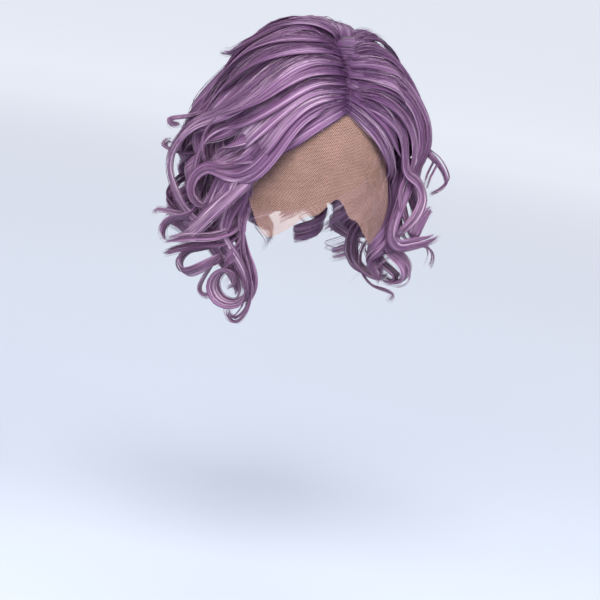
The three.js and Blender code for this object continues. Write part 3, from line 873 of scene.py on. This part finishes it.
# Lace front
lace = {"reach": 72, "seam": 99, "off": 0.5, "crease": 0.35, "across": 80, "over": 90,
        "pitch": 1.5, "thread": 0.2, "perDegree": (1.45, 1.65), "colour": srgb(190, 148, 132),
        "veil": 0.12, "roughness": 0.75}
hem = {"side": (-72, -54, -32, -12, 0, 12, 32, 54, 72),
       "tilt": (-8, -36, -44, -22, -11, -22, -42, -44, -24),
       "stand": (0, 1, 2, 1, 0, 1, 3, 9, 7)}


def laceTilts(side):
    return fromTable(hem["side"], hem["tilt"], side), np.full(len(side), lace["seam"])


def laceOff(side, tilt):
    stand = fromTable(hem["side"], hem["stand"], side) * ease(-tilt, -25, 40)
    crease = lace["crease"] * np.sin(tilt * 1.1 + 1.5 * np.sin(np.radians(side * 5)))
    crease = crease * ease(tilt, -10, 8) * (1 - ease(tilt, 26, 40))
    return lace["off"] + stand + crease


def makeLaceNet():  # hexagon net by the piece's own map
    material, shader = newMaterial("laceNet")
    uv = addNode(material, "UVMap", uv_map="OFBake").outputs[0]
    # map units to cells, by the millimetres in a degree across the form and over it
    across, over = lace["perDegree"]
    cells = (180 * across / lace["pitch"], 360 * over / lace["pitch"], 0)
    p = vectorMaths(material, "MULTIPLY", uv, cells)
    period, half = (1, 3 ** 0.5, 1), (0.5, 3 ** 0.5 / 2, 0)
    first = vectorMaths(material, "SUBTRACT", vectorMaths(material, "MODULO", p, period), half)
    moved = vectorMaths(material, "ADD", p, half)
    second = vectorMaths(material, "SUBTRACT", vectorMaths(material, "MODULO", moved, period), half)
    lengths = [vectorMaths(material, "LENGTH", v, result=1) for v in (first, second)]
    pick = addNode(material, "Mix", data_type="VECTOR")
    wire(material, maths(material, "LESS_THAN", *lengths), pick.inputs[0])
    wire(material, second, pick.inputs[4])
    wire(material, first, pick.inputs[5])
    cell = vectorMaths(material, "ABSOLUTE", pick.outputs[1])
    slant = vectorMaths(material, "DOT_PRODUCT", cell, half, result=1)
    parts = addNode(material, "SeparateXYZ")
    wire(material, cell, parts.inputs[0])
    rim = maths(material, "MAXIMUM", slant, parts.outputs[0])
    web = maths(material, "GREATER_THAN", rim, 0.5 - lace["thread"] / 2)
    tint = noise(material, addNode(material, "TexCoord").outputs["Object"], 60.0)
    darker = tuple(c * 0.8 for c in lace["colour"])
    shade = ramp(material, tint, [(0.3, darker), (0.7, lace["colour"])])
    wire(material, shade, shader.inputs["Base Color"])
    wire(material, maths(material, "MAXIMUM", web, lace["veil"]), shader.inputs["Alpha"])
    shader.inputs["Roughness"].default_value = lace["roughness"]
    return material


laceSides = (-lace["reach"], lace["reach"])
laceGrid = bentGrid(laceSides, laceTilts, laceOff, lace["across"], lace["over"])
laceMesh = finishShell("laceFront", laceGrid, 0)
laceFront = addPiece("laceFront", laceMesh, makeLaceNet(), "lace", "lace_front")
print("lace area:", round(sum(p.area for p in laceMesh.polygons), 4))

# Stretch cap
cap = {"reach": 79, "seam": 100, "nape": 214, "napeArch": 6, "wall": 1.5, "across": 40, "over": 60,
       "wefts": 26, "weave": 1400.0, "bump": (0.5, 0.0006), "roughness": 0.6,
       "colour": srgb(74, 54, 80), "weft": srgb(52, 34, 56)}


def capTilts(side):
    nape = cap["nape"] - cap["napeArch"] * np.cos(np.radians(4 * side))
    return np.full(len(side), cap["seam"]), nape


def capOff(side, tilt):
    return np.full(len(side), 0.75 * cap["wall"])


def makeCapNet():
    material, shader = newMaterial("capNet")
    uv = addNode(material, "UVMap", uv_map="OFBake").outputs[0]
    parts = addNode(material, "SeparateXYZ")
    wire(material, uv, parts.inputs[0])
    turns = 360 / (cap["nape"] - cap["seam"]) * cap["wefts"] * 2 * math.pi
    row = maths(material, "SINE", maths(material, "MULTIPLY", parts.outputs[1], turns))
    band = ramp(material, row, [(0.45, cap["colour"]), (0.75, cap["weft"])])
    weave = maths(material, "SINE", maths(material, "MULTIPLY", parts.outputs[0], cap["weave"]))
    fine = noise(material, addNode(material, "TexCoord").outputs["Object"], 400.0)
    worn = maths(material, "MULTIPLY", fine, 0.6)
    colour = mixColours(material, "MULTIPLY", worn, band, (0.4, 0.35, 0.4, 1))
    wire(material, colour, shader.inputs["Base Color"])
    addBump(material, shader, maths(material, "MULTIPLY_ADD", weave, 0.3, row), *cap["bump"])
    uneven = maths(material, "MULTIPLY_ADD", fine, 0.2, cap["roughness"])
    wire(material, uneven, shader.inputs["Roughness"])
    return material


capSides = (-cap["reach"], cap["reach"])
capGrid = bentGrid(capSides, capTilts, capOff, cap["across"], cap["over"])
capMesh = finishShell("wigCap", capGrid, cap["wall"] * 0.5 * mm)
addPiece("wigCap", capMesh, makeCapNet(), "cap", "wig_cap")
print("cap and lace done")

# Floor, light and camera
# the floor's near and far colours and its glow are painted light
stage = {"floor": -0.52, "floorSize": 40, "lampsAimAt": -0.1, "near": srgb(188, 194, 206),
         "far": srgb(246, 248, 252), "glow": (0.34, 0.35, 0.37), "world": srgb(226, 231, 242),
         "worldStrength": 0.6}
lamps = {  # azimuth, elevation, distance, size, watts
    "key": (-28, 56, 2.0, 1.1, 33), "fill": (-50, 14, 2.2, 1.6, 34),
    "right": (30, 34, 2.2, 1.6, 36), "top": (165, 55, 2.2, 1.2, 14),
}


def makeFloor():
    bm = bmesh.new()
    bmesh.ops.create_grid(bm, x_segments=2, y_segments=2, size=stage["floorSize"])
    bmesh.ops.translate(bm, verts=bm.verts, vec=(0, 0, stage["floor"]))
    mesh = bpy.data.meshes.new("floor")
    bm.to_mesh(mesh)
    bm.free()
    floor = bpy.data.objects.new("floor", mesh)
    bpy.context.scene.collection.objects.link(floor)
    material, shader = newMaterial("floorPaintedLight")
    # painted light: darker near the middle and paler far off, with an emitted glow that grows far
    # off, evening out the lamps' fall-off
    spot = addNode(material, "TexCoord").outputs["Object"]
    away = maths(material, "MULTIPLY", vectorMaths(material, "LENGTH", spot, result=1), 0.1)
    paint = ramp(material, away, [(0.08, stage["near"]), (0.5, stage["far"])])
    glow = ramp(material, away, [(0.06, (0, 0, 0)), (0.4, stage["glow"])])
    wire(material, paint, shader.inputs["Base Color"])
    wire(material, glow, shader.inputs["Emission Color"])
    shader.inputs["Emission Strength"].default_value = 1.0
    shader.inputs["Roughness"].default_value = 0.9
    mesh.materials.append(material)


def makeLamp(name, azimuth, elevation, distance, size, watts):
    lamp = bpy.data.objects.new(name, bpy.data.lights.new(name, "AREA"))
    lamp.data.size = size
    lamp.data.energy = watts
    out = Vector(aim(azimuth, elevation))
    lamp.location = Vector((0, 0, stage["lampsAimAt"])) + out * distance
    lamp.rotation_euler = out.to_track_quat("Z", "Y").to_euler()
    bpy.context.scene.collection.objects.link(lamp)


def makeCamera():
    right, up, back = (Vector(axis) for axis in sightAxes())
    middle = Vector((0, 0, -form["top"] * mm))
    scale = view["pixelsPerMm"] / mm
    column, row = view["size"] / 2 - view["middleAt"][0], view["middleAt"][1] - view["size"] / 2
    target = middle + right * column / scale + up * row / scale
    location = middle + back * view["distance"] * mm
    z = (location - target).normalized()
    x = up.cross(z).normalized()
    camera = bpy.data.objects.new("camera", bpy.data.cameras.new("camera"))
    camera.data.sensor_width = view["sensor"]
    camera.data.lens = view["sensor"] * view["pixelsPerMm"] * view["distance"] / view["size"]
    turned = Matrix((x, z.cross(x), z)).transposed().to_4x4()
    camera.matrix_world = Matrix.Translation(location) @ turned
    bpy.context.scene.collection.objects.link(camera)
    bpy.context.scene.camera = camera


bpy.context.scene.view_settings.view_transform = "Standard"
makeFloor()
for lampName, settings in lamps.items():
    makeLamp(lampName, *settings)
world = bpy.data.worlds.new("studio")
world.use_nodes = True
world.node_tree.nodes["Background"].inputs[0].default_value = (*stage["world"], 1)
world.node_tree.nodes["Background"].inputs[1].default_value = stage["worldStrength"]
bpy.context.scene.world = world
makeCamera()
print("stage done")
